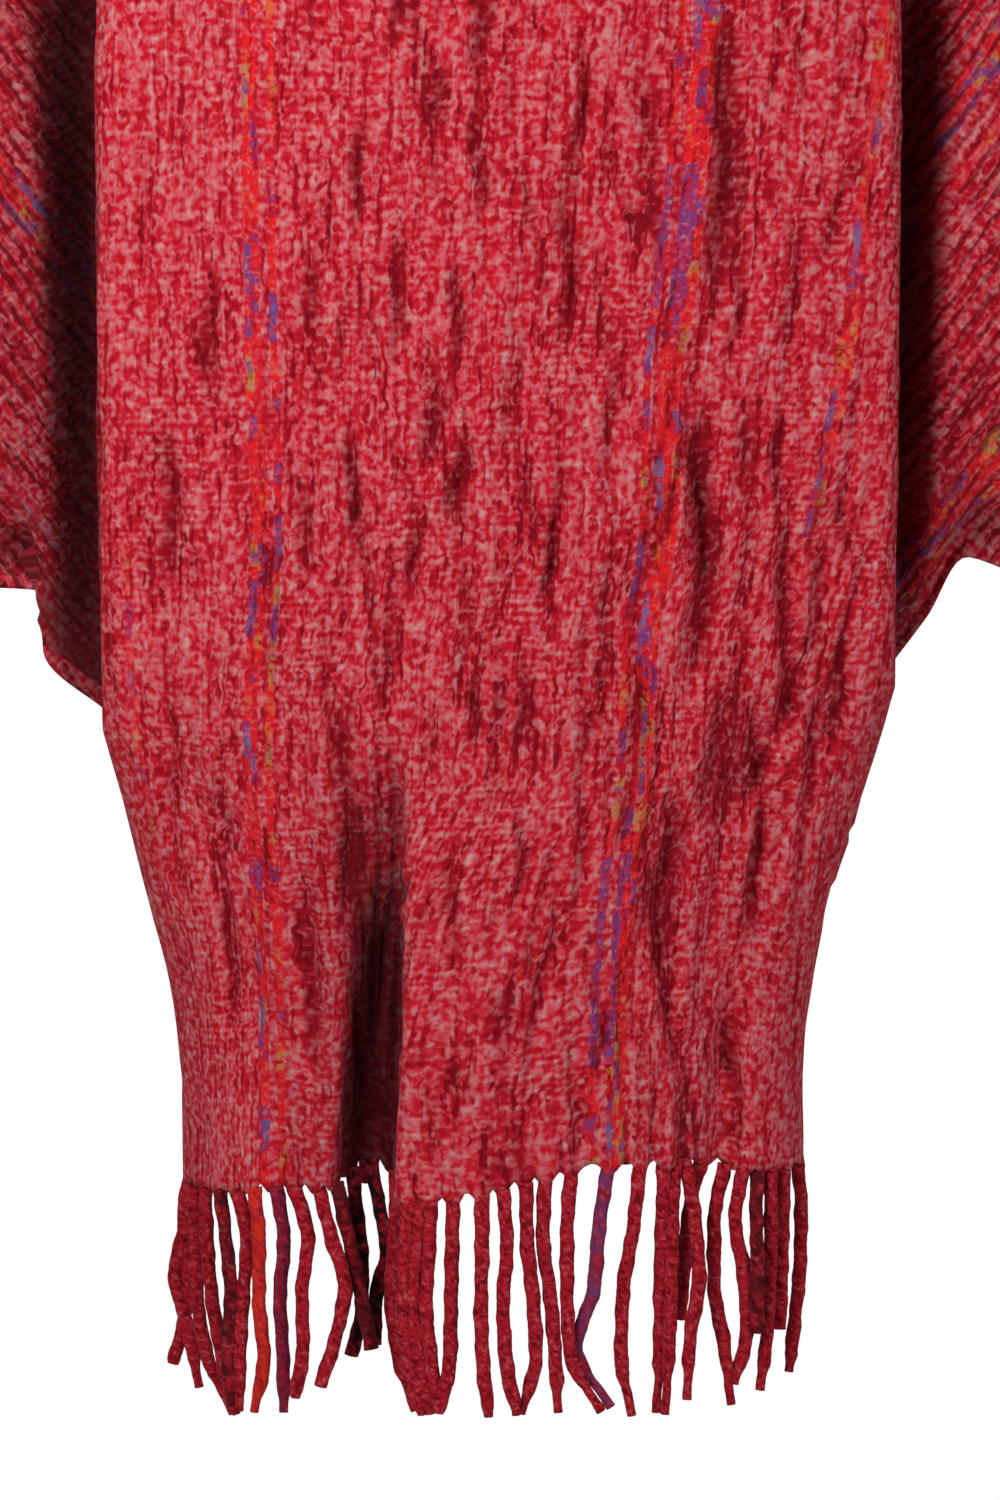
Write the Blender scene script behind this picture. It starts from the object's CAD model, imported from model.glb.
import functools
import math
import random

import bmesh
import bpy
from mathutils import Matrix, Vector, noise


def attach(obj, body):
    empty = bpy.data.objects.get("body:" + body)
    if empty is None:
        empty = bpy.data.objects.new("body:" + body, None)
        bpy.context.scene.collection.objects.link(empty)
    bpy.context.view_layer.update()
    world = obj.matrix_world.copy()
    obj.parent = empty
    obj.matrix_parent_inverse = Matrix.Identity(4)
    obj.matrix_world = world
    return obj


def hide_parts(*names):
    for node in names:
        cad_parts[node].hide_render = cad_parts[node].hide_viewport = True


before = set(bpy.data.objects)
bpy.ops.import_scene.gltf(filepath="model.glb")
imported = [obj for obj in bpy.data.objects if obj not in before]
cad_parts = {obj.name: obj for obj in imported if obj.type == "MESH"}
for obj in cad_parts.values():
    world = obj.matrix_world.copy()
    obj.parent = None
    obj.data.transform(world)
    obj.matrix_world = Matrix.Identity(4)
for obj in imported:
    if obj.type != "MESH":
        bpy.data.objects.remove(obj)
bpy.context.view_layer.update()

mm = 0.001  # lengths below are in millimetres


# Small helpers
def mix(a, b, share):
    return a + (b - a) * share


def ease(share):
    share = min(1.0, max(0.0, share))
    return share * share * (3 - 2 * share)


def bell(x):  # 1 at 0, and falling off on both sides
    return math.exp(-(x ** 2))


def arch(share):  # 0 at both ends, and 1 in the middle
    return math.sin(math.pi * share)


def through(knots, at):  # smooth curve through (place, value) pairs that never overshoots
    at = min(max(at, knots[0][0]), knots[-1][0])
    last = len(knots) - 1
    i = max(k for k in range(last) if knots[k][0] <= at)
    slopes = [(knots[k + 1][1] - knots[k][1]) / (knots[k + 1][0] - knots[k][0]) for k in range(last)]

    def tangent(k):
        if k in (0, last):
            return slopes[min(k, last - 1)]
        before, after = slopes[k - 1], slopes[k]
        return 0.0 if before * after <= 0 else 2 * before * after / (before + after)

    (x0, y0), (x1, y1) = knots[i], knots[i + 1]
    width = x1 - x0
    t = (at - x0) / width
    return (y0 * (1 + 2 * t) * (1 - t) ** 2 + tangent(i) * width * t * (1 - t) ** 2
            + y1 * t * t * (3 - 2 * t) + tangent(i + 1) * width * t * t * (t - 1))


def addObject(name, bm, material):
    mesh = bpy.data.meshes.new(name)
    bm.to_mesh(mesh)
    bm.free()
    mesh.shade_smooth()
    mesh.materials.append(material)
    made = bpy.data.objects.new(name, mesh)
    bpy.context.scene.collection.objects.link(made)
    return made


def toLinear(code):  # sRGB hex to the linear colour that a shader wants
    parts = [int(code[k:k + 2], 16) / 255 for k in (1, 3, 5)]
    return tuple(c / 12.92 if c <= 0.04045 else ((c + 0.055) / 1.055) ** 2.4 for c in parts) + (1.0,)


# Camera
# The picture's own view: level with the chest, 2.6 m in front of the cloth
view = {"place": (0.0, -2.73, -0.33), "aim": (0.001, -0.13, -0.622), "lens": 112.2, "sensor": 36}

cameraData = bpy.data.cameras.new("camera")
cameraData.lens = view["lens"]
cameraData.sensor_width = view["sensor"]
cameraData.sensor_fit = "AUTO"
cameraData.clip_end = 20
camera = bpy.data.objects.new("camera", cameraData)
bpy.context.scene.collection.objects.link(camera)
eye = Vector(view["place"])
aim = (Vector(view["aim"]) - eye).normalized()
cameraTurn = aim.to_track_quat("-Z", "Y")
camera.rotation_euler = cameraTurn.to_euler()
camera.location = eye
bpy.context.scene.camera = camera
pictureSize = (1000, 1500)


def fromPicture(px, py, depth):  # x and z in mm of the point seen at (px, py), depth mm in front of y = 0
    pixel = view["sensor"] / view["lens"] / pictureSize[1]
    ray = cameraTurn @ Vector(((px - pictureSize[0] / 2) * pixel, (pictureSize[1] / 2 - py) * pixel, -1))
    at = eye + ray * ((-depth * mm - eye.y) / ray.y)
    return at.x / mm, at.z / mm


# Form of the poncho
# Sizes in mm and slopes in degrees. The last three are shares: where along the arm the sleeve rises out of
# the valley beside the body, and how far down the shape of the top edge is still felt.
form = {
    "wall": 2.6, "seamGap": 0.05, "neckHalf": 104, "shoulderHalf": 186, "shoulderSlope": 22, "armSlope": 50,
    "shoulderBend": 24, "cuffTop": (505, -408), "chestHeight": 230, "armHeight": 95,
    "riseStart": 0.04, "riseEnd": 0.17, "topFade": 0.7,
}
columnNames = ("ridgeX", "centre", "ridge", "corner", "valleyX", "valley")
frontSections = (  # down, then the columns above
    (0.00, 186, 128, 98, 30, 246, 60),
    (0.15, 208, 128, 101, 22, 236, 54),
    (0.31, 224, 130, 107, 13, 226, 16),
    (0.42, 225, 131, 108, 12, 224, 12),
    (0.70, 225, 131, 108, 12, 223, 12),
    (0.92, 225, 128, 102, 15, 225, 8),
    (1.00, 226, 126, 95, 26, 226, 0),
    (1.28, 226, 122, 84, 44, 226, 0),
    (1.62, 226, 118, 74, 52, 226, 0),
    (2.00, 226, 116, 70, 55, 226, 0),
)
backSections = (
    (0.00, 186, 112, 84, 34, 246, 58),
    (0.15, 204, 114, 88, 32, 236, 54),
    (0.31, 214, 116, 92, 30, 226, 30),
    (0.42, 217, 116, 94, 28, 225, 20),
    (0.70, 218, 114, 92, 28, 224, 16),
    (0.92, 222, 110, 86, 30, 225, 10),
    (1.00, 226, 108, 82, 34, 226, 0),
    (1.40, 226, 106, 74, 44, 226, 0),
    (2.00, 226, 104, 66, 50, 226, 0),
)
sideSeam = {
    -1: ((617, 226), (649, 219), (683, 212), (714, 205), (770, 192), (807, 186), (834, 183), (890, 181)),
    1: ((592, 226), (649, 213), (683, 204), (714, 195), (770, 184), (807, 178), (834, 176), (890, 176)),
}
underarm = {
    -1: ((226, -617), (267, -576), (265, -544), (293, -541), (400, -570)),
    1: ((226, -592), (251, -558), (274, -523), (296, -530), (400, -570)),
}
# Large folds, from level to level: start, end, x at the start and end as shares of the flat half width,
# depth, reach to the left and to the right
frontFolds = (
    (1.00, 2.60, -0.30, -0.63, 48, 17, 9),
    (0.90, 2.60, -0.05, 0.00, -9, 34, 40),
    (1.58, 2.30, 1.02, 1.06, 13, 8, 9),
    (0.66, 1.30, 0.90, 0.80, 7, 9, 10),
    (1.20, 1.80, -0.72, -0.76, 5, 10, 10),
)
backFolds = (
    (0.95, 2.60, 0.30, 0.38, 30, 14, 20),
    (1.05, 2.60, -0.42, -0.48, 22, 18, 13),
    (0.70, 2.60, -0.06, -0.02, -9, 40, 36),
    (0.30, 0.80, -0.28, -0.24, 9, 14, 14),
    (0.25, 0.72, 0.42, 0.36, 9, 14, 12),
    (0.60, 1.10, 0.66, 0.62, 9, 12, 14),
    (0.62, 1.15, -0.70, -0.66, 9, 14, 12),
    (0.50, 1.00, 0.08, 0.05, 7, 12, 12),
    (1.30, 2.40, 0.74, 0.70, 10, 11, 11),
)
# Creases of the front, read off the picture in its own pixels: x and y of the upper end,
# x and y of the lower end, depth and half width in mm
frontCreases = (
    (733, 70, 722, 285, 14, 8), (706, 440, 702, 645, 15, 8), (694, 450, 712, 565, 7, 5),
    (676, 825, 664, 950, 15, 9), (668, 930, 660, 1010, 8, 4),
    (437, 60, 441, 120, 9, 4.5), (478, 115, 482, 205, 10, 4.5), (456, 270, 460, 350, 9, 4),
    (362, 125, 358, 210, 8, 4), (585, 35, 578, 170, 9, 4), (572, 215, 568, 340, 10, 5),
    (742, 258, 738, 345, 8, 4), (808, 15, 802, 100, 7, 4), (355, 440, 352, 525, 9, 3.6),
    (417, 510, 413, 597, 8, 4), (463, 445, 458, 525, 11, 6), (436, 360, 430, 458, 9, 5),
    (166, 455, 168, 565, 9, 4.5), (478, 672, 474, 740, 7, 4), (553, 535, 548, 615, 8, 4),
    (563, 450, 552, 565, 7, 4), (526, 655, 520, 745, 8, 4), (782, 420, 778, 505, 9, 3.6),
    (850, 474, 842, 565, 8, 4), (862, 388, 855, 440, 6, 4), (834, 530, 826, 585, 6, 4),
    (852, 655, 840, 740, 8, 4.5), (762, 720, 757, 810, 8, 4.5), (765, 795, 757, 935, 10, 4.5),
    (526, 815, 519, 902, 8, 4), (678, 982, 672, 1070, 7, 4.5), (224, 925, 226, 1035, 9, 4.5),
    (221, 765, 219, 875, 6, 4.5), (140, 100, 142, 260, 5, 5.5), (345, 735, 352, 905, 8, 7),
    (300, 465, 304, 605, 6, 5), (318, 245, 314, 385, 6, 5.5), (520, 325, 512, 475, 7, 6),
    (620, 325, 612, 475, 6, 5.5), (470, 555, 462, 685, 7, 5), (612, 555, 604, 665, 6, 4.5),
    (590, 735, 580, 885, 6, 5.5), (455, 835, 447, 985, 6, 5.5), (540, 955, 530, 1095, 6, 5.5),
    (300, 875, 306, 1055, 6, 6.5), (160, 725, 176, 905, 6, 5.5), (205, 295, 208, 425, 6, 5.5),
    (650, 55, 646, 195, 6, 5.5), (512, 25, 508, 135, 6, 4.5), (400, 245, 396, 365, 6, 5.5),
    (795, 555, 786, 705, 6, 5.5), (720, 695, 708, 825, 7, 6), (800, 225, 794, 345, 6, 5.5),
    (822, 600, 806, 960, 6, 4.5), (808, 610, 794, 950, -4, 5), (790, 480, 784, 640, 5, 4),
    (440, 1045, 436, 1165, 4, 5.5), (580, 1055, 574, 1165, 4, 5.5), (262, 555, 266, 705, 4, 5.5),
    (486, 0, 482, 90, 8, 6), (640, 640, 634, 760, 5, 5), (500, 700, 494, 800, 6, 5),
    (394, 560, 388, 690, 6, 5), (330, 620, 336, 760, 5, 5), (560, 880, 552, 980, 6, 5),
    (735, 1040, 730, 1155, 9, 6), (604, 990, 600, 1080, 5, 5),
)
# Drag lines of the sleeves: distance across them, where they start along them, length, depth, half width
sleeveDrags = {
    (-1, -1): ((433, -40, 170, 7, 7), (479, -60, 190, 8, 6), (490, -30, 200, 9, 8), (400, -60, 120, 5, 7),
               (540, -60, 200, 7, 10), (585, -60, 170, 7, 9), (360, -80, 120, 5, 9)),
    (-1, 1): ((407, -40, 150, 7, 7), (444, -30, 150, 8, 7), (375, -50, 120, 5, 7), (480, -60, 180, 6, 9),
              (525, -60, 200, 7, 10), (572, -60, 180, 7, 9), (340, -80, 110, 5, 9)),
    (1, -1): ((393, -60, 190, 7, 11), (440, -60, 210, 8, 12), (500, -70, 220, 8, 12),
              (560, -60, 190, 7, 11)),
    (1, 1): ((405, -60, 190, 7, 11), (455, -60, 210, 8, 12), (512, -70, 220, 8, 12),
             (570, -60, 190, 7, 11)),
}
dragSlope = math.radians(54)
dragAlong = (-math.cos(dragSlope), -math.sin(dragSlope))  # down and in towards the body
dragAcross = (math.sin(dragSlope), -math.cos(dragSlope))

front = {
    "facing": -1, "length": 865, "sections": frontSections, "folds": frontFolds, "neckDrop": 62, "puff": 70,
    "hem": ((-3, 14), (-1.2, 15), (-0.75, 9), (-0.57, -4), (-0.43, 9), (-0.2, 6), (0.5, -3), (1, 2), (3, 6)),
    "seed": 3.1, "shade": 1.0, "shadeRight": 0.56,
}
back = {
    "facing": 1, "length": 785, "sections": backSections, "folds": backFolds, "neckDrop": 14, "puff": 60,
    "hem": ((-3, 0), (-0.4, 4), (0.5, -3), (3, 0)),
    "seed": 9.7, "shade": 0.6, "shadeRight": 1.0,
}
# The deep fold's right side leans over its trough: how far the trough runs in under it, how far the lip
# comes back over it, and how much it stands proud, in mm. Beside it the columns of points are denser and are
# pulled along with it. Lower down it opens to a flat trough: from where, over how much of the way, to what
# reach in mm and how steep.
deepFold = {
    "under": 9, "over": 8, "proud": 4, "spread": 0.12, "dense": 0.42, "pull": 0.42,
    "openFrom": 1.35, "openOver": 0.6, "trough": 25, "steep": 5,
}
sectionCache = {}


# A point of a panel has two places. Across: up to 1 on the flat front or back, to 2 round the corner, to 3 on
# the side and to 4 along the sleeve, and negative on the wearer's right. Down: 0 at the top edge, 1 at the
# underarm and 2 at the hem.
def sectionAt(panel, down):
    key = (panel["facing"], down)
    if key not in sectionCache:
        rows = panel["sections"]
        sectionCache[key] = {
            name: through([(row[0], row[k + 1]) for row in rows], down) for k, name in enumerate(columnNames)
        }
    return dict(sectionCache[key])


def topLine(x):
    run = abs(x)
    slope, extra = math.tan(math.radians(form["shoulderSlope"])), math.tan(math.radians(form["armSlope"]))
    out = max(0.0, run - form["shoulderHalf"])
    bend = out if out > form["shoulderBend"] else out * out / form["shoulderBend"]
    return -max(0.0, run - form["neckHalf"]) * slope - bend * (extra - slope)


def topEdge(panel, x):
    inside = 1 - (x / form["neckHalf"]) ** 2
    return topLine(x) - (panel["neckDrop"] * inside ** 0.75 if inside > 0 else 0.0)


def rounding(fall, height):
    left = 1 - min(1.0, max(0.0, fall) / height)
    return (1 - left * left) ** 0.7


def foldOpening(down):
    return ease((down - deepFold["openFrom"]) / deepFold["openOver"])


def foldDepth(panel, x, down, halfWidth):
    total = 0.0
    for fold in panel["folds"]:
        start, end, xStart, xEnd, depth, left, right = fold
        if start < down < end:
            along = (down - start) / (end - start)
            off = x - mix(xStart, xEnd, along) * halfWidth
            reach, power = (left, 2) if off < 0 else (right, 2)
            if fold is frontFolds[0] and off < 0:
                opened = foldOpening(down)
                reach, power = mix(left, deepFold["trough"], opened), mix(2, deepFold["steep"], opened)
            total += depth * arch(along) ** 1.2 * math.exp(-(abs(off / reach) ** power))
    return total


def foldPlace(down):  # where the deep fold lies, as a share of the flat half width, and how deep it is, to 1
    start, end, xStart, xEnd = frontFolds[0][:4]
    along = min(1.0, max(0.0, (down - start) / (end - start)))
    return mix(xStart, xEnd, along), arch(along) ** 1.2


foldHome = 0.5 * (foldPlace(1)[0] + foldPlace(2)[0])


def columnPlace(panel, across, down):  # columns crowd together beside the deep fold and go where it goes
    if panel["facing"] > 0 or abs(across) >= 1:
        return across
    near = bell((across - foldHome) / deepFold["pull"])
    near *= (1 - across * across) / (1 - foldHome * foldHome)
    return across + (foldPlace(down)[0] - foldHome) * near


def lipShift(panel, x, down, halfWidth):  # how far a point by the deep fold goes aside and inward
    if panel["facing"] > 0 or down <= 1:
        return 0.0, 0.0
    place, opened = foldPlace(down)
    off = x - place * halfWidth
    lip = bell((off - 14) / 7)
    under = deepFold["under"] * bell((off - 2) / 5)
    return opened * (under - deepFold["over"] * lip), -opened * deepFold["proud"] * lip


def levelOf(panel, across, down):
    arm = mix(-underarm[-1][0][1], -underarm[1][0][1], ease((across + 1) / 2))
    if down <= 1:
        return arm * down
    return mix(arm, panel["length"] + through(panel["hem"], across), down - 1)


def bodyPlan(panel, across, down):
    side, reach = math.copysign(1, across), abs(across)
    s = sectionAt(panel, down)
    if down > 1:
        s["ridgeX"] = s["valleyX"] = through(sideSeam[side], levelOf(panel, across, down))
    flat = s["ridgeX"] - s["corner"]
    if reach <= 1:
        bow = (s["centre"] - s["ridge"]) * (1 - across * across)
        x = across * flat
        aside, inward = lipShift(panel, x, down, flat)
        return x + aside, s["ridge"] + bow - foldDepth(panel, x, down, flat) - inward
    if reach <= 2:
        turn = math.radians(90) * (reach - 1)
        x = side * (flat + s["corner"] * math.sin(turn))
        depth = s["ridge"] - s["corner"] * (1 - math.cos(turn))
        return x, depth - foldDepth(panel, x, down, flat) * (2 - reach)
    share = reach - 2
    return side * mix(s["ridgeX"], s["valleyX"], share), mix(s["ridge"] - s["corner"], s["valley"], share)


def bodyPoint(panel, across, down):
    x, depth = bodyPlan(panel, across, down)
    key = (panel["facing"], across, "top")
    if key not in sectionCache:
        sectionCache[key] = bodyPlan(panel, across, 0)[0]
    xTop = sectionCache[key]
    fade = (1 - min(1.0, down / form["topFade"])) ** 2
    z = -levelOf(panel, across, down) + topEdge(panel, xTop) * fade
    height = mix(form["chestHeight"], form["armHeight"], ease(abs(across) - 2))
    return Vector((x, panel["facing"] * depth * rounding(topLine(xTop) - z, height), z))


def seamPoint(side, share):
    points = [Vector((side * x, z)) for x, z in underarm[side]]
    lengths = [0.0]
    for a, b in zip(points, points[1:]):
        lengths.append(lengths[-1] + (b - a).length)
    places = [length / lengths[-1] for length in lengths]
    return Vector([through(list(zip(places, [p[k] for p in points])), share) for k in (0, 1)])


def sleeveFlat(panel, across, down):
    side, out = math.copysign(1, across), abs(across) - 3
    valley = bodyPoint(panel, side * 3, down)
    cuffHigh, cuffLow = Vector((side * form["cuffTop"][0], form["cuffTop"][1])), seamPoint(side, 1)
    inner, outer = Vector((valley.x, valley.z)), mix(cuffHigh, cuffLow, down)
    bend = seamPoint(side, out) - mix(seamPoint(side, 0), cuffLow, out)
    return mix(inner, outer, out) + bend * down ** 2, valley


def dragPlace(x, z):  # distances along and across the sleeve's drag lines
    run = abs(x)
    return (run - 330) * dragAlong[0] + (z + 215) * dragAlong[1], run * dragAcross[0] + z * dragAcross[1]


def dragDepth(panel, side, x, z):
    along, aside = dragPlace(x, z)
    total = 0.0
    for place, start, run, depth, width in sleeveDrags[(panel["facing"], side)]:
        share = (along - start) / run
        if 0 < share < 1:
            total += depth * arch(share) * bell((aside - place) / width)
    return total


def sleevePoint(panel, across, down):
    side, out = math.copysign(1, across), abs(across) - 3
    flat, valley = sleeveFlat(panel, across, down)
    hollow = panel["puff"] * arch(down ** 0.8) ** 0.55 - dragDepth(panel, side, flat.x, flat.y)
    full = max(hollow * ease(down * 8) * ease((1 - down) * 8), 0.0) if 0 < down < 1 else 0.0
    rise = ease((out - form["riseStart"]) / (form["riseEnd"] - form["riseStart"]))
    return Vector((flat.x, panel["facing"] * mix(panel["facing"] * valley.y, full, rise), flat.y))


# Fine relief
frontDepth = 124  # the front's surface lies about so far before y = 0
creaseRows = []
for xHigh, yHigh, xLow, yLow, depth, width in frontCreases:
    high, low = fromPicture(xHigh, yHigh, frontDepth + 2), fromPicture(xLow, yLow, frontDepth - 2)
    creaseRows.append((high[0], high[1], low[0], low[1], depth, width))
# Shares of the listed depth and width, the share of its length that a crease runs out over at either end,
# how far it wanders, in mm, and how far the cloth sinks for each mm of it
creaseForm = {"depth": 0.72, "width": 0.86, "runOut": 0.26, "wander": 2.2, "sink": 1.2}


def creaseDepth(panel, x, z):
    if panel["facing"] > 0:
        x, z = -x * 0.93 + 12, z - 14  # the back has similar ones
    total = 0.0
    for xHigh, zHigh, xLow, zLow, depth, width in creaseRows:
        spare = creaseForm["runOut"] * (zHigh - zLow)
        if zLow - spare < z < zHigh + spare:
            share = (zHigh + spare - z) / (zHigh - zLow + 2 * spare)
            wander = creaseForm["wander"] * math.sin(9 * share + xHigh)
            off = (x - mix(xHigh, xLow, share) - wander) / (creaseForm["width"] * width)
            if abs(off) < 3:
                # a slight ridge on its left makes that side the steeper one
                profile = bell(off) - 0.28 * math.exp(-((off + 2.0) ** 2) / 1.2)
                total += creaseForm["depth"] * depth * arch(share) ** 0.75 * profile
    return total


def unevenness(panel, u, v):
    # the slack, pulled surface of the whole cloth: long upright swells, and thin creases that break off
    def drift(width, length, layer, sway=0.0):  # noise with shapes of about this width and length, in mm
        return noise.noise(Vector(((u + sway) / width, v / length, panel["seed"] + layer)))

    swell = (3.4 * drift(38, 190, 0) + 2.2 * drift(15, 85, 5) + 2.3 * drift(7, 80, 43, 3 * math.sin(v / 29))
             + 0.5 * drift(6.5, 14, 11))
    line = drift(27, 165, 17, 5 * math.sin(v / 37))
    valley = bell(line / 0.10) * ease(0.5 + 2.2 * drift(30, 85, 23))
    notch = bell(drift(19, 150, 31) / 0.10) * ease(0.35 + 2.2 * drift(24, 70, 37))
    return swell, 3.6 * valley + 2.6 * notch


def recess(panel, across, down):  # up to 1 in the valley beside the sleeve, where hardly any light comes
    reach = abs(across)
    onLeft = across * panel["facing"] > 0
    if reach <= 3:
        depth = ease((reach - 1.7) / 0.5)
    else:
        low = ease((down - 0.8) / 0.15)
        width = (0.20 if onLeft else 0.13) + 0.04 * low
        dim = 0.34 if onLeft else 0.12
        depth = max(1 - ease((reach - 3.04 - 0.06 * low) / width), dim * (1 - ease((reach - 3.12) / 0.6)))
    side = 1.0 if onLeft else panel["shadeRight"]
    return depth * (1 - ease((down - 1.12) / 0.3)) * ease(down / 0.12) * panel["shade"] * side


def calm(panel, across):  # how much relief is left: less by the left edge, little on corners and sides
    reach, sides = abs(across), 0.30
    if reach > 3:
        return mix(sides, 1.0, ease((reach - 3.1) / 0.2))
    left = ease((across * panel["facing"] - 0.45) / 0.2)
    return mix(1.0 - 0.4 * left, sides, ease((reach - 0.93) / 0.12))


def foldShade(panel, across, down):  # the lower part of the deep fold closes up and goes dark
    if panel["facing"] > 0 or down <= 1 or abs(across) > 1:
        return 0.0
    s = sectionAt(panel, down)
    half = through(sideSeam[math.copysign(1, across)], levelOf(panel, across, down)) - s["corner"]
    off = (across - foldPlace(down)[0]) * half  # mm to the right of the deepest line
    opened = foldOpening(down)
    dark = 0.55 * ease((off + mix(42, 33, opened)) / mix(34, 10, opened)) + 0.42 * ease((off + 27) / 12)
    upper = 0.46 * bell((off + 14) / 22) * ease((down - 1.0) / 0.25)
    return max(dark * ease((down - 1.08) / 0.42), upper) * (1 - ease((off - 7) / 5))


def acrossStations(panel):
    spacing, halfWidth = 3.0, 210
    places = [-1.0]
    while places[-1] < 1:
        near = 0.0
        if panel["facing"] < 0:
            near = math.exp(-(((places[-1] - foldHome + 0.06) / deepFold["spread"]) ** 4))
        places.append(places[-1] + spacing / halfWidth * mix(1, deepFold["dense"], near))
    stretch = 2 / (places[-1] + 1)
    flat = [(p + 1) * stretch - 1 for p in places]
    turnCount, sideCount, sleeveCount = ((20, 12, 40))
    corner = [1 + k / turnCount for k in range(1, turnCount + 1)]
    side = [2 + k / sideCount for k in range(1, sideCount + 1)]
    sleeve = [3 + (k / sleeveCount) ** 1.35 for k in range(1, sleeveCount + 1)]
    outer = corner + side + sleeve
    return [-a for a in reversed(outer)] + flat + outer


def downStations(panel):
    upper, lower = ((104, 50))
    return [(k / upper) ** 1.08 for k in range(upper + 1)] + [1 + k / lower for k in range(1, lower + 1)]


# Hem and fringe
# What some strands are dyed or shaded with, and how strongly
dyes = {
    "": ("#000000", 0.0), "shaded": ("#2c050d", 0.8), "orange": ("#c92a1a", 0.85), "dark": ("#1c0408", 1.0),
    "mixed": ("#5a1c40", 0.6), "slate": ("#5a3566", 0.7),
}
tints = {name: toLinear(code)[:3] + (share,) for name, (code, share) in dyes.items()}
# Front strands read off the picture: y of the tip, then x at the root, at the three quarters and at the tip,
# and the dye, where there is one
frontStrands = (
    (1363, 182, 184, 187, 185, 173), (1385, 188, 187, 175, 189, 199), (1413, 193, 195, 197, 207, 233),
    (1415, 205, 207, 212, 222, 236), (1405, 219, 226, 231, 228, 232, "shaded"),
    (1412, 236, 247, 243, 240, 239), (1413, 254, 259, 259, 264, 254, "orange"),
    (1411, 276, 284, 280, 283, 284, "mixed"), (1395, 294, 308, 302, 303, 295),
    (1385, 318, 331, 345, 336, 320), (1350, 337, 345, 355, 363, 372, "shaded"),
    (1355, 352, 357, 362, 362, 351, "dark"), (1345, 370, 379, 387, 376, 375, "dark"),
    (1412, 396, 395, 391, 397, 415), (1414, 407, 405, 402, 409, 423), (1413, 419, 416, 413, 419, 431),
    (1411, 431, 429, 426, 431, 437), (1413, 453, 452, 451, 450, 438), (1414, 482, 482, 481, 483, 489),
    (1413, 503, 507, 503, 506, 517), (1414, 526, 527, 533, 536, 521), (1413, 545, 543, 550, 555, 558),
    (1410, 571, 567, 567, 570, 601), (1405, 608, 599, 594, 576, 611, "slate"),
    (1413, 640, 633, 623, 621, 632), (1414, 664, 662, 660, 660, 656), (1412, 675, 672, 671, 669, 665),
    (1397, 684, 695, 699, 690, 687), (1320, 702, 691, 686, 683, 680), (1403, 725, 714, 714, 724, 731),
    (1385, 744, 735, 744, 747, 734), (1330, 758, 756, 757, 758, 757, "shaded"),
    (1391, 770, 771, 770, 767, 760), (1330, 783, 783, 782, 781, 779), (1370, 796, 801, 800, 795, 789),
)
# Sizes in mm. A ply's middle and radius are shares of half the thickness.
strand = {
    "thick": 8.6, "length": 127, "backShorter": 14, "twist": 58, "rootLength": 18, "plies": 3,
    "plyMiddle": 0.28, "plyRadius": 0.76, "rings": 48, "sides": 6,
}
# The back's strands hang in locks: from x to x, and how many strands
backLocks = (
    (-170, -148, 4), (-132, -110, 3), (-92, -72, 3), (-52, -28, 3), (-8, 8, 2), (24, 44, 3), (62, 82, 3),
    (98, 116, 3), (130, 168, 5),
)
# How far the hem comes down to a strand, over what width, and how far a strand is tucked in, in mm, and by
# what share the hem widens, on the front (-1) and on the back (1)
hem = {"drop": 9, "width": 5.4, "tuck": 5, "flare": {-1: 0.022, 1: 0.004}}
# In the picture: x of the poncho's middle, y of the hem and of the strands' upper ends, and one pixel in mm
inPicture = {"middle": 498, "hem": 1188, "strandTop": 1190, "pixel": 0.56}


def frontRoots():  # where the front strands leave the hem, in mm
    roots = []
    for row in frontStrands:
        x = (row[1] - inPicture["middle"]) * inPicture["pixel"]
        for _ in range(5):
            root = hemPlace(front, x)
            x += fromPicture(row[1], inPicture["hem"], -root.y)[0] - root.x
        roots.append(hemPlace(front, x))
    return roots


def backRoots():
    chance = random.Random(23)
    return [
        [hemPlace(back, mix(start, end, k / (count - 1)) + chance.uniform(-1, 1)) for k in range(count)]
        for start, end, count in backLocks
    ]


def hemPlace(panel, x):  # the point of the hem at x, found by halving
    low, high = -3.0, 3.0
    for _ in range(30):
        middle = (low + high) / 2
        if bodyPoint(panel, middle, 2).x < x:
            low = middle
        else:
            high = middle
    return bodyPoint(panel, low, 2)


# How far below its even line the hem hangs at an x, both in mm
front["hemLine"] = (
    (-300, 0), (-90, 0), (-62, 6), (-10, 4), (20, 0), (80, -1), (108, -6), (132, 0), (300, 0),
)
back["hemLine"] = ((-300, 0), (-120, 3), (-40, -2), (60, 2), (300, 0))
front["roots"] = frontRoots()
back["locks"] = backRoots()
back["roots"] = [root for lock in back["locks"] for root in lock]


def hemDrop(panel, x):
    strands = max(bell((x - root.x) / hem["width"]) for root in panel["roots"])
    return strands * hem["drop"] + through(panel["hemLine"], x)


# Cloth coordinates
# Where the coloured stripes run, in picture pixels, from the top of the picture to the hem
stripes = {
    "left": ((0, 255), (250, 258), (500, 265), (750, 255), (950, 262), (1165, 267)),
    "right": ((0, 700), (250, 678), (400, 660), (550, 657), (650, 640), (800, 635), (900, 620), (1150, 606)),
    "far": ((0, 892), (200, 865), (300, 855), (400, 838), (560, 806), (700, 778), (1150, 722)),
    "edge": ((0, 118), (400, 120), (640, 126), (860, 152), (1000, 182), (1150, 200)),
}
# The same on the cut cloth, in mm from its middle. The sleeves' places are counted from 400 outward.
clothPlaces = {"edge": -214, "left": -134, "right": 98, "far": 196}
sleeveStart = 400


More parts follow.
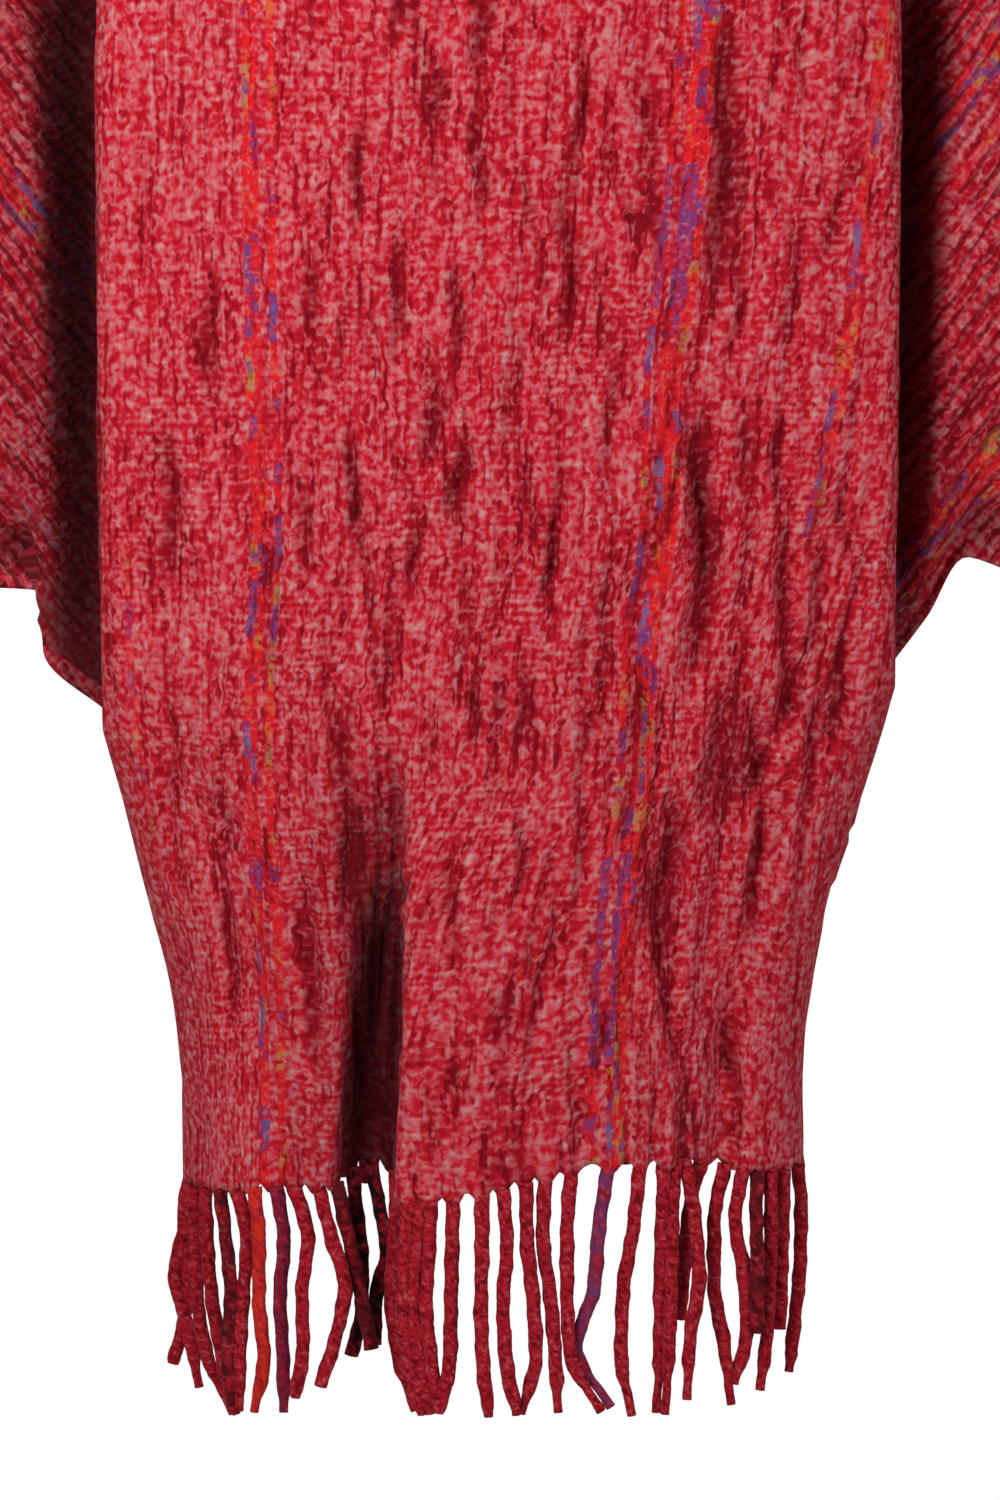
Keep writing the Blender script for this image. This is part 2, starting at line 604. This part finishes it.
def stripeX(name, z):
    seenPlaces = [fromPicture(px, py, frontDepth) for py, px in stripes[name]]
    knots = [(-height, x) for x, height in seenPlaces]
    return through(knots, -z)


def clothAcross(row, z):  # distance across the cut cloth for each point of a row, pinned at the stripes
    lengths = [0.0]
    for a, b in zip(row, row[1:]):
        lengths.append(lengths[-1] + (b - a).length)
    xs = [p.x for p in row]
    pins = []
    for name, place in clothPlaces.items():
        x = stripeX(name, z)
        k = next((k for k in range(1, len(xs)) if xs[k] >= x), None)
        if k:
            share = (x - xs[k - 1]) / max(1e-6, xs[k] - xs[k - 1])
            pins.append((mix(lengths[k - 1], lengths[k], share), place))
    first, last, beyond = pins[0], pins[-1], 400
    pins = [(first[0] - beyond, first[1] - beyond)] + pins + [(last[0] + beyond, last[1] + beyond)]
    result = []
    for length in lengths:
        k = next(k for k in range(1, len(pins)) if pins[k][0] >= length)
        share = (length - pins[k - 1][0]) / (pins[k][0] - pins[k - 1][0])
        result.append(mix(pins[k - 1][1], pins[k][1], share))
    return result


def shellPoints(panel, columns, rows):  # the large form, with no sleeve below the underarm
    points = {}
    for j, down in enumerate(rows):
        for i, across in enumerate(columns):
            if abs(across) <= 3:
                points[i, j] = bodyPoint(panel, columnPlace(panel, across, down), down)
            elif down <= 1:
                points[i, j] = sleevePoint(panel, across, down)
    return points


def fallAlong(column, level):  # distance down the cloth for each point of a column, counted from a level
    fall = {level: -column[level].z}
    for j in range(level + 1, len(column)):
        fall[j] = fall[j - 1] + (column[j] - column[j - 1]).length
    for j in range(level - 1, -1, -1):
        fall[j] = fall[j + 1] - (column[j] - column[j + 1]).length
    return fall


def layFlat(points, columns, rows):  # where each point lies on the cut cloth, on the body and on the sleeves
    level = max(j for j, down in enumerate(rows) if down <= form["topFade"])
    bodyColumns = [i for i, across in enumerate(columns) if abs(across) <= 3]
    falls = {i: fallAlong([points[i, j] for j in range(len(rows))], level) for i in bodyColumns}
    middle = falls[(bodyColumns[0] + bodyColumns[-1]) // 2]
    laid = {}
    for j in range(len(rows)):
        row = [points[i, j] for i in bodyColumns]
        z = sum(p.z for p in row) / len(row)
        for i, u in zip(bodyColumns, clothAcross(row, z)):
            laid[i, j, "body"] = (u, mix(falls[i][j], middle[j], 0.5))
    for (i, j), p in points.items():
        if abs(columns[i]) >= 3:
            along, aside = dragPlace(p.x, p.z)
            laid[i, j, "sleeve"] = (math.copysign(1, columns[i]) * (aside + sleeveStart), along)
    return laid


def awayFromSeams(across, down):  # 0 along the seams and the neckline, where the panels end, and 1 inside
    reach = abs(across)
    near = min(1.0, down / 0.06) if reach <= 3 else min(1.0, down / 0.06, (1 - down) / 0.06)
    if down >= 1 and reach > 2:
        near = min(near, (3 - reach) / 0.3)
    return ease(near)


def addRelief(panel, points, laid, columns, rows):
    # moves each point along the cloth's own normal, and down where the hem comes down to a strand
    moved, troughs, shades = {}, {}, {}
    for (i, j), p in points.items():
        left, right = points.get((i - 1, j), p), points.get((i + 1, j), p)
        upper, lower = points.get((i, j - 1), p), points.get((i, j + 1), p)
        normal = (right - left).cross(upper - lower)
        if normal.length < 1e-9:
            moved[i, j] = p
            continue
        normal = normal.normalized()
        if normal.y * panel["facing"] < 0:
            normal = -normal
        across, down = columns[i], rows[j]
        u, v = laid[i, j, "body" if abs(across) <= 3 else "sleeve"]
        swell, thin = (calm(panel, across) * part for part in unevenness(panel, u, v))
        crease = 0.0
        if abs(across) < 1.6:
            crease = creaseDepth(panel, p.x, p.z) * ease((1.6 - abs(across)) / 0.5)
        troughs[i, j] = min(1.0, max(0.0, -0.10 * (swell + 1.6)) + 0.22 * thin + max(0.0, 0.17 * crease))
        closed = foldShade(panel, columnPlace(panel, across, down), down)
        shades[i, j] = max(recess(panel, across, down), closed)
        inward = thin + creaseForm["sink"] * crease - swell
        moved[i, j] = p - normal * inward * awayFromSeams(across, down)
        moved[i, j].x *= 1 + hem["flare"][panel["facing"]] * ease((down - 1.55) / 0.45)
        if down > 1 and abs(across) < 3:
            drop = hemDrop(panel, p.x) * ease(1 - (2 - down) / 0.14)
            moved[i, j].z -= drop
            laid[i, j, "body"] = (u, v + drop)
    return moved, troughs, shades


def buildShell(panel, name, material):
    columns, rows = acrossStations(panel), downStations(panel)
    wide, tall = len(columns) - 1, len(rows) - 1
    points = shellPoints(panel, columns, rows)
    laid = layFlat(points, columns, rows)
    moved, troughs, shades = addRelief(panel, points, laid, columns, rows)
    bm = bmesh.new()
    bmesh.ops.create_grid(bm, x_segments=wide, y_segments=tall, size=0.5)
    uvLayer = bm.loops.layers.uv.new("cloth")
    troughLayer = bm.verts.layers.float.new("trough")
    shadeLayer = bm.verts.layers.float.new("shade")
    spare, place = [], {}
    for vert in bm.verts:
        key = (round((vert.co.x + 0.5) * wide), round((0.5 - vert.co.y) * tall))
        if key in moved:
            vert.co = moved[key] * mm
            vert.co.y = panel["facing"] * max(panel["facing"] * vert.co.y, form["seamGap"] * mm)
            vert[troughLayer], vert[shadeLayer] = troughs.get(key, 0.0), shades.get(key, 0.0)
            place[vert] = key
        else:
            spare.append(vert)
    bmesh.ops.delete(bm, geom=spare, context="VERTS")
    for face in bm.faces:
        keys = [place[v] for v in face.verts]
        middle = sum(columns[i] for i, j in keys) / len(keys)
        kind = "body" if abs(middle) < 3 else "sleeve"
        for loop, (i, j) in zip(face.loops, keys):
            u, v = laid[i, j, kind]
            loop[uvLayer].uv = (u * mm, v * mm)
    if panel["facing"] > 0:
        bmesh.ops.reverse_faces(bm, faces=bm.faces)
    shell = addObject(name, bm, material)
    solidify = shell.modifiers.new("Wall", "SOLIDIFY")
    solidify.thickness = form["wall"] * mm
    solidify.offset = -1
    return shell


# Materials
def addNode(tree, kind, settings, *links, **named):  # a link is a node, an output, a plain value or None
    node = tree.nodes.new("ShaderNode" + kind)
    for key, value in settings.items():
        if key in node.inputs:
            node.inputs[key].default_value = value
        else:
            setattr(node, key, value)
    for key, source in [*enumerate(links), *named.items()]:
        if source is None:
            continue
        if isinstance(source, bpy.types.Node):
            source = source.outputs[0]
        if isinstance(source, bpy.types.NodeSocket):
            tree.links.new(source, node.inputs[key])
        else:
            node.inputs[key].default_value = source
    return node


def rampStops(node, stops):
    ramp = node.color_ramp
    while len(ramp.elements) > 1:
        ramp.elements.remove(ramp.elements[-1])
    ramp.elements[0].position, ramp.elements[0].color = stops[0][0], toLinear(stops[0][1])
    for position, colour in stops[1:]:
        ramp.elements.new(position).color = toLinear(colour)


# Kinds and settings: the maths nodes by what they do, a colour blend, and the two ends of a mapped range
add, subtract, multiply, divide, scaleAdd, sine, magnitude, wholePart, least, most, below, above = [
    ("Math", {"operation": name}) for name in (
        "ADD", "SUBTRACT", "MULTIPLY", "DIVIDE", "MULTIPLY_ADD", "SINE", "ABSOLUTE", "FLOOR", "MINIMUM",
        "MAXIMUM", "LESS_THAN", "GREATER_THAN")
]
blend = {"data_type": "RGBA"}
skip = (None,) * 5  # a colour blend's share and its two colours are inputs 0, 6 and 7


def span(fromLow, fromHigh, toLow, toHigh):
    return {"From Min": fromLow, "From Max": fromHigh, "To Min": toLow, "To Max": toHigh}


def newMaterial(name):  # the material, addNode for its own tree, and the place on the cloth in mm
    material = bpy.data.materials.new(name)
    material.use_nodes = True
    tree = material.node_tree
    tree.nodes.clear()
    node = functools.partial(addNode, tree)
    uv = node("UVMap", {"uv_map": "cloth"})
    return material, node, node("VectorMath", {"operation": "SCALE", "Scale": 1 / mm}, uv)


cloth = {
    "course": 4.2, "wale": 4.6, "stitch": 5.0, "fleck": 4.4, "rib": 8.2,  # mm
    "shadow": "#2e0409", "sunk": "#650210", "deep": "#a20b1e", "red": "#b61a2c", "rose": "#bb4652",
    "pale": "#bc6c70", "light": "#c08f8c", "scarlet": "#cc1a20", "orange": "#c4502a", "mustard": "#a5783f",
    "violet": "#6e3470", "slate": "#5c5f90", "crimson": "#a80a20", "bloom": "#e8a0a4",
}
# Stripes on the cut cloth, in mm: middle, half width, strength, and from where to where down the cloth they
# are strong
everywhere = (-900, 900)
stripeBands = (
    (-1010, 10, 0.9, *everywhere), (-905, 5, 0.35, *everywhere), (-803, 9, 0.9, *everywhere),
    (-214, 4, 0.6, 540, 700), (-134, 10, 1.0, *everywhere), (90, 9, 0.95, 690, 815),
    (98, 11, 1.0, *everywhere), (196, 7, 0.85, -900, 500), (765, 10, 0.9, *everywhere),
    (790, 3, 0.8, *everywhere), (905, 12, 1.0, *everywhere), (1010, 9, 0.8, *everywhere),
)
# Where the dye of a stripe stays violet: middle and half width across, start and end down the cloth
violetPatches = ((92, 10, 690, 812), (97, 10, 300, 378))


def within(node, place, middle, half):  # 1 where a place is less than half from the middle, and else 0
    return node(*below, node(*magnitude, node(*subtract, place, middle)), half)


def stripeDyes(node, swayU, v, fleck, small, cellTone):  # how strongly the stripes show, and their colour
    # single yarns of space-dyed wool, broken by the plain yarn that they are worked with
    yarn = node(*wholePart, node(*divide, node(*add, swayU, -2.5), cloth["wale"]))
    yarnU = node(*scaleAdd, yarn, cloth["wale"], cloth["wale"] / 2)
    band = 0.0
    for middle, half, strength, first, last in stripeBands:
        near = node(*multiply, within(node, yarnU, middle, half), strength)
        if (first, last) != everywhere:  # beyond, it fades to a tenth over 60 mm
            end = node(*magnitude, node(*subtract, v, (first + last) / 2))
            reach = (last - first) / 2
            fade = node("MapRange", span(reach, reach + 60, 1.0, 0.1), end)
            near = node(*multiply, near, fade)
        band = node(*most, band, near)
    pick = node("TexWhiteNoise", {"noise_dimensions": "1D"}, W=yarn)
    inked = node(*multiply, band, node(*above, pick, 0.20))
    place = node("CombineXYZ", {}, node(*multiply, yarn, 13.7), node(*divide, v, 38.0))
    dyeTone = node("TexNoise", {"Scale": 1.0, "Detail": 1.2}, place)
    lean = node("TexWhiteNoise", {"noise_dimensions": "1D"}, W=node(*add, yarn, 71.3))
    for part, middle, weight in ((fleck, 0.5, 0.16), (lean, 0.55, 0.20)):
        dyeTone = node(*scaleAdd, part, weight, dyeTone)
        dyeTone = node(*subtract, dyeTone, middle * weight)
    for middle, half, first, last in violetPatches:
        level = within(node, v, (first + last) / 2, (last - first) / 2)
        near = node(*multiply, within(node, yarnU, middle, half), level)
        violetTone = node(*scaleAdd, small, 0.25, 0.26)
        dyeTone = node("Mix", {}, near, None, dyeTone, violetTone)
    dyed = node("ValToRGB", {}, dyeTone)
    stops = (
        (0.00, "slate"), (0.31, "slate"), (0.36, "violet"), (0.41, "violet"), (0.44, "crimson"),
        (0.48, "scarlet"), (0.58, "scarlet"), (0.62, "orange"), (0.66, "mustard"), (0.72, "violet"),
    )
    rampStops(dyed, [(at, cloth[name]) for at, name in stops])
    broken = node(*scaleAdd, small, 3.0, -0.8)
    broken = node(*scaleAdd, cellTone, 0.9, broken)
    broken = node(*subtract, broken, 0.45)
    broken = node("Math", {"operation": "ADD", "use_clamp": True}, broken, 0.0)
    return node(*multiply, inked, broken), dyed


def marledCloth():
    # Chunky loosely knitted wool, one ply red and one pinkish grey: matte and flecked, with a faint bloom
    material, node, inMm = newMaterial("MarledWool")
    v = node("SeparateXYZ", {}, inMm).outputs[1]
    trough = node("Attribute", {"attribute_name": "trough"}).outputs["Fac"]
    shade = node("Attribute", {"attribute_name": "shade"}).outputs["Fac"]

    # stitches wander a little, so neither courses nor wales run straight
    wander = node("TexNoise", {"Scale": 1 / 13, "Detail": 1.0}, inMm)
    sway = node("VectorMath", {"operation": "SCALE", "Scale": 5.0}, wander.outputs["Color"])
    swayed = node("VectorMath", {"operation": "ADD"}, inMm, sway)
    swayParts = node("SeparateXYZ", {}, swayed)
    swayU, swayV = swayParts.outputs[0], swayParts.outputs[1]

    # flecks: short curled pieces of the pale ply, and smaller bright ones
    curled = {"Scale": 1 / cloth["fleck"], "Detail": 0.25, "Roughness": 0.5, "Distortion": 0.55}
    fleck = node("TexNoise", curled, inMm)
    small = node("TexNoise", {"Scale": 1 / 2.4, "Detail": 0.0, "Distortion": 0.2}, inMm)
    # each stitch shows one ply or the other
    stitchGrid = node("VectorMath", {"operation": "SCALE", "Scale": 1 / cloth["stitch"]}, swayed)
    loose = {"voronoi_dimensions": "2D", "Scale": 1.0, "Randomness": 0.9}
    cells = node("TexVoronoi", loose, stitchGrid)
    cellTone = node("SeparateColor", {}, cells.outputs["Color"])
    cellRim = node(*most, node(*subtract, cells.outputs["Distance"], 0.30), 0.0)
    phase = node(*multiply, swayV, 2 * math.pi / cloth["course"])
    course = node(*scaleAdd, node(*sine, phase), 0.5, 0.5)
    halfPhase = node(*multiply, phase, 0.5)
    wale = node(*scaleAdd, swayU, 2 * math.pi / cloth["wale"], halfPhase)
    wale = node(*scaleAdd, node(*sine, wale), 0.3, 0.7)
    stitch = node(*multiply, course, wale)
    # the courses show here and there only
    clear = node("TexNoise", {"Scale": 1 / 70, "Detail": 1.0}, inMm)
    clear = node("MapRange", span(0.44, 0.80, 0.03, 0.22), clear)
    # broad drift between redder and paler patches
    drift = node("TexNoise", {"Scale": 1 / 48, "Detail": 2.0}, inMm)
    # the cloth is pulled lengthways: thin upright streaks where the red ply closes up
    pulled = node("VectorMath", {"operation": "MULTIPLY"}, swayed, (1 / 3.2, 1 / 60, 1.0))
    streak = node("TexNoise", {"Scale": 1.0, "Detail": 1.5}, pulled)
    streakLow = node(*most, node(*subtract, 0.47, streak), 0.0)
    # fine upright cords, where one wale lies higher than the next
    drawn = node("VectorMath", {"operation": "MULTIPLY"}, swayed, (1 / 2.9, 1 / 42, 1.0))
    cord = node("TexNoise", {"Scale": 1.0, "Detail": 0.5}, drawn)

    # how pale each spot of the marl is: part, the value that leaves it unchanged, weight
    paleness = 0.475
    for part, middle, weight in (
        (fleck, 0.5, 0.60), (cellTone, 0.5, 0.13), (cellRim, 0.0, -0.16), (small, 0.5, 0.14),
        (drift, 0.5, 0.06), (cord, 0.5, 0.34), (streakLow, 0.0, -1.0), (trough, 0.0, -0.07),
    ):
        paleness = node(*scaleAdd, part, weight, paleness)
        paleness = node(*subtract, paleness, middle * weight)
    stitchPart = node(*subtract, stitch, 0.4)
    paleness = node(*scaleAdd, stitchPart, clear, paleness)
    marl = node("ValToRGB", {}, paleness)
    stops = {"deep": 0.22, "red": 0.36, "rose": 0.47, "pale": 0.62, "light": 0.80}
    rampStops(marl, [(at, cloth[name]) for name, at in stops.items()])

    share, dyed = stripeDyes(node, swayU, v, fleck, small, cellTone)
    striped = node("Mix", blend, share, *skip, marl, dyed).outputs[2]

    # creases close up to the dark red ply, in jagged dots, for the pale flecks stay out of them
    crevice = node("MapRange", span(0.3, 1.0, 0.0, 0.52), trough)
    deepening = node(*scaleAdd, trough, 4.5, 1.6)
    sinking = node(*multiply, streakLow, deepening)
    sinking = node(*add, sinking, crevice)
    # the sleeves' cloth is drawn into fine ribs, which run with the stripes
    ribPhase = node(*multiply, swayU, 2 * math.pi / cloth["rib"])
    rib = node(*sine, ribPhase)
    rib = node("MapRange", span(0.1, 1.0, 0.0, 0.95), rib)
    patchy = node("TexNoise", {"Scale": 1 / 30, "Detail": 1.0}, inMm)
    patchy = node("MapRange", span(0.38, 0.60, 0.15, 1.0), patchy)
    onSleeve = node(*above, node(*magnitude, swayU), sleeveStart - 4)
    rib = node(*multiply, node(*multiply, rib, patchy), onSleeve)
    sinking = node(*add, sinking, rib)
    sparing = node(*scaleAdd, paleness, -1.9, 1.85)
    sinking = node(*multiply, sinking, sparing)
    sinking = node(*least, sinking, 0.78)
    sunk = node("Mix", blend, sinking, *skip, striped, toLinear(cloth["sunk"])).outputs[2]
    shadeShare = node(*multiply, shade, 0.90)
    dark = node("Mix", blend, shadeShare, *skip, sunk, toLinear(cloth["shadow"])).outputs[2]

    # height of the marl: part and weight
    fuzz = node("TexNoise", {"Scale": 1 / 1.3, "Detail": 2.0}, inMm)
    height = 0.0
    for part, weight in (
        (stitch, 0.25), (fleck, 1.1), (cells, -0.5), (streakLow, -6.0), (cord, 1.6), (rib, -1.6),
        (small, 0.3), (fuzz, 0.10),
    ):
        height = node(*scaleAdd, part, weight, height)
    bump = node("Bump", {"Strength": 0.55, "Distance": 1.2 * mm}, Height=height)
    shader = node("BsdfPrincipled", {
        "Roughness": 0.92, "IOR": 1.45, "Specular IOR Level": 0.12, "Sheen Weight": 0.06,
        "Sheen Roughness": 0.5, "Sheen Tint": toLinear(cloth["bloom"]),
    }, dark, Normal=bump)
    node("OutputMaterial", {}, shader)
    return material


def fringeYarn():
    # Strands of the same wool, rolled and felted: darker in the twist, with few pale flecks
    material, node, inMm = newMaterial("FeltedYarn")
    fleck = node("TexNoise", {"Scale": 1 / 3.4, "Detail": 1.5, "Distortion": 0.8}, inMm)
    marl = node("ValToRGB", {}, fleck)
    rampStops(marl, [(0.34, "#64050f"), (0.46, "#960c1e"), (0.58, "#a01c2c"), (0.74, "#a84c52")])
    tint = node("Attribute", {"attribute_name": "tint"})
    # the dye comes and goes along a strand
    run = node("TexNoise", {"Scale": 1 / 9, "Detail": 1.0}, inMm)
    run = node("MapRange", span(0.38, 0.56, 0.25, 1.0), run)
    share = node(*multiply, tint.outputs["Alpha"], run)
    coloured = node("Mix", blend, share, *skip, marl, tint.outputs["Color"]).outputs[2]
    fuzz = node("TexNoise", {"Scale": 1.0, "Detail": 2.0}, inMm)
    bump = node("Bump", {"Strength": 0.7, "Distance": 0.6 * mm}, Height=fuzz)
    shader = node("BsdfPrincipled", {
        "Roughness": 0.9, "IOR": 1.45, "Specular IOR Level": 0.15, "Sheen Weight": 0.08,
        "Sheen Roughness": 0.5, "Sheen Tint": toLinear(cloth["bloom"]),
    }, coloured, Normal=bump)
    node("OutputMaterial", {}, shader)
    return material


wool, yarnWool = marledCloth(), fringeYarn()

# Panels
frontShell = buildShell(front, "FrontPanel", wool)
print("front panel", len(frontShell.data.vertices), "points")
backShell = buildShell(back, "BackPanel", wool)
print("back panel", len(backShell.data.vertices), "points")


# Fringe
def strandTop(panel, root):
    return root.z - hem["drop"] + hem["tuck"] - through(panel["hemLine"], root.x)


def smoothPath(points, steps):  # points at even shares of the height, joined by a smooth curve
    last = len(points) - 1
    path = []
    for k in range(steps + 1):
        t = k / steps
        path.append(Vector([through([(n / last, p[c]) for n, p in enumerate(points)], t) for c in range(3)]))
    return path


def frontPaths():
    chance = random.Random(11)
    paths = []
    for row, root in zip(frontStrands, front["roots"]):
        tipY, xs, tint = row[0], row[1:6], row[6] if len(row) > 6 else ""
        depth = -root.y - form["wall"] / 2
        tipZ = fromPicture(xs[4], tipY, depth)[1]
        swing, curl = chance.uniform(-4, 6), chance.uniform(-4, 4)
        start = strandTop(front, root)
        points = [Vector((root.x, -depth, start))]
        for n in (1, 2, 3, 4):
            share = n / 4
            out = depth + swing * share + curl * arch(share)
            x = fromPicture(xs[n], mix(inPicture["strandTop"], tipY, share), out)[0]
            points.append(Vector((x, -out, mix(start, tipZ, share))))
        paths.append((points, tint))
    return paths


def backPaths():
    chance = random.Random(29)
    paths = []
    for (start, end, count), roots in zip(backLocks, back["locks"]):
        for root in roots:
            gather = mix(root.x, (start + end) / 2, 0.35)
            depth = root.y - form["wall"] / 2
            length = strand["length"] - strand["backShorter"] + chance.uniform(-6, 5)
            sway = [0] + [chance.uniform(-4, 4) for _ in range(4)]
            swing = chance.uniform(-4, 5)
            points = []
            for n in range(5):
                share = n / 4
                x = mix(root.x, gather, ease(share)) + sway[n]
                points.append(Vector((x, depth + swing * share, strandTop(back, root) - length * share)))
            paths.append((points, chance.choice(["", "", "", "", "dark", "mixed"])))
    return paths


def plyPath(points, ply, seed, phase):  # middle, turn and thickness of one ply, ring by ring
    path = smoothPath(points, strand["rings"])
    rings, along = [], 0.0
    for k, at in enumerate(path):
        ahead = path[min(k + 1, len(path) - 1)] - path[max(k - 1, 0)]
        along += (at - path[k - 1]).length if k else 0.0
        turn = Vector((0, 0, -1)).rotation_difference(ahead.normalized())
        spin = phase + 2 * math.pi * (ply / strand["plies"] + along / strand["twist"])
        bulge = noise.noise(Vector((seed * 3.3, along / 12, 0.5)))
        lump = noise.noise(Vector((seed * 1.7, along / 3.5, 4.5)))
        size = 1 + 0.12 * bulge + 0.05 * lump
        # at its root a strand is as flat as the cloth and a little wider, and at its tip it thins out
        flat = 1 - ease(along / strand["rootLength"])
        tip = 1 - 0.35 * ease((along / max(1.0, strand["length"]) - 0.94) * 16)
        offset = Vector((math.cos(spin) * mix(1, 1.2, flat), math.sin(spin) * mix(1, 0.10, flat), 0))
        offset *= strand["thick"] / 2 * strand["plyMiddle"] * size * tip
        squeeze = Vector((1, mix(1, 0.5, flat), 1)) * strand["thick"] / 2 * strand["plyRadius"] * size * tip
        rings.append((at, turn, offset, squeeze, spin, along))
    return rings


def addPly(bm, uvLayer, tintLayer, rings, tint, shift):
    sides, tall = strand["sides"], len(rings) - 1
    known = set(bm.verts)
    bmesh.ops.create_grid(bm, x_segments=sides, y_segments=tall, size=0.5)
    fresh = [vert for vert in bm.verts if vert not in known]
    place = {}
    for vert in fresh:
        n, k = round((vert.co.x + 0.5) * sides), round((0.5 - vert.co.y) * tall)
        at, turn, offset, squeeze, spin, along = rings[k]
        angle = 2 * math.pi * n / sides + spin
        rim = Vector((math.cos(angle) * squeeze.x, math.sin(angle) * squeeze.y, 0))
        vert.co = (at + turn @ (offset + rim)) * mm
        place[vert] = (n, along)
    for face in {face for vert in fresh for face in vert.link_faces}:
        for loop in face.loops:
            n, along = place[loop.vert]
            loop[uvLayer].uv = ((n * 2.1 + shift) * mm, (along + shift * 7) * mm)
            loop[tintLayer] = tint
    bmesh.ops.remove_doubles(bm, verts=fresh, dist=0.00001)


def buildFringe(paths, name, material):
    bm = bmesh.new()
    bm.loops.layers.uv.new("cloth")
    bm.loops.layers.float_color.new("tint")
    for k, (points, tint) in enumerate(paths):
        part = bmesh.new()
        layers = part.loops.layers.uv.new("cloth"), part.loops.layers.float_color.new("tint")
        phase = random.Random(k + 1).uniform(0, 2 * math.pi)
        for ply in range(strand["plies"]):
            addPly(part, *layers, plyPath(points, ply, k + 1, phase), tints[tint], 40 * k + 17 * ply)
        bmesh.ops.holes_fill(part, edges=[e for e in part.edges if e.is_boundary], sides=strand["sides"])
        bmesh.ops.recalc_face_normals(part, faces=part.faces)
        mesh = bpy.data.meshes.new("strand")
        part.to_mesh(mesh)
        part.free()
        bm.from_mesh(mesh)
        bpy.data.meshes.remove(mesh)
    return addObject(name, bm, material)


frontFringe = buildFringe(frontPaths(), "FrontFringe", yarnWool)
backFringe = buildFringe(backPaths(), "BackFringe", yarnWool)
print("fringe", len(frontFringe.data.polygons) + len(backFringe.data.polygons), "faces")

# What stands for what
for piece, node, slotName in (
    (frontShell, "front_panel", "front_cloth"), (backShell, "back_panel", "back_cloth"),
    (frontFringe, "front_fringe", "front_yarn"), (backFringe, "back_fringe", "back_yarn"),
):
    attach(piece, "root")
    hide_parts(node)

# Floor and light
stage = {"floor": -1.45, "size": 1.25, "paper": "#f4f4f4"}
floorMesh = bmesh.new()
bmesh.ops.create_circle(floorMesh, cap_ends=True, segments=128, radius=stage["size"])
bmesh.ops.translate(floorMesh, verts=floorMesh.verts, vec=(0, 0, stage["floor"]))
paper = bpy.data.materials.new("WhitePaper")  # matte backdrop paper, rolled out flat
paper.use_nodes = True
paper.node_tree.nodes["Principled BSDF"].inputs["Base Color"].default_value = toLinear(stage["paper"])
paper.node_tree.nodes["Principled BSDF"].inputs["Roughness"].default_value = 1.0
floor = addObject("floor", floorMesh, paper)

lights = (  # name, place, aim, size, power, colour
    ("key", (-0.72, -1.45, 0.18), (0, 0, -0.40), 0.8, 27, "#fffaf5"),
    ("fill", (2.2, -2.2, 0.3), (0, 0, -0.45), 1.2, 37, "#fffaf8"),
    ("back", (0.9, 2.6, 0.6), (0, 0, -0.5), 1.6, 60, "#ffffff"),
)
for name, place, target, size, power, colour in lights:
    data = bpy.data.lights.new(name, "AREA")
    data.shape, data.size, data.energy = "DISK", size, power
    data.color = toLinear(colour)[:3]
    lamp = bpy.data.objects.new(name, data)
    lamp.location = place
    lamp.rotation_euler = (Vector(target) - Vector(place)).to_track_quat("-Z", "Y").to_euler()
    bpy.context.scene.collection.objects.link(lamp)

# The studio is white behind the poncho, but throws little light on it
world = bpy.data.worlds.new("studio")
world.use_nodes = True
bpy.context.scene.world = world
worldTree = world.node_tree
worldTree.nodes.clear()
seen = addNode(worldTree, "LightPath", {}).outputs["Is Camera Ray"]
dim = addNode(worldTree, "Background", {"Color": toLinear("#ffffff"), "Strength": 0.07})
bright = addNode(worldTree, "Background", {"Color": toLinear("#ffffff"), "Strength": 1.0})
sky = addNode(worldTree, "MixShader", {}, seen, dim, bright)
addNode(worldTree, "OutputWorld", {}, sky)
bpy.context.scene.view_settings.view_transform = "Standard"
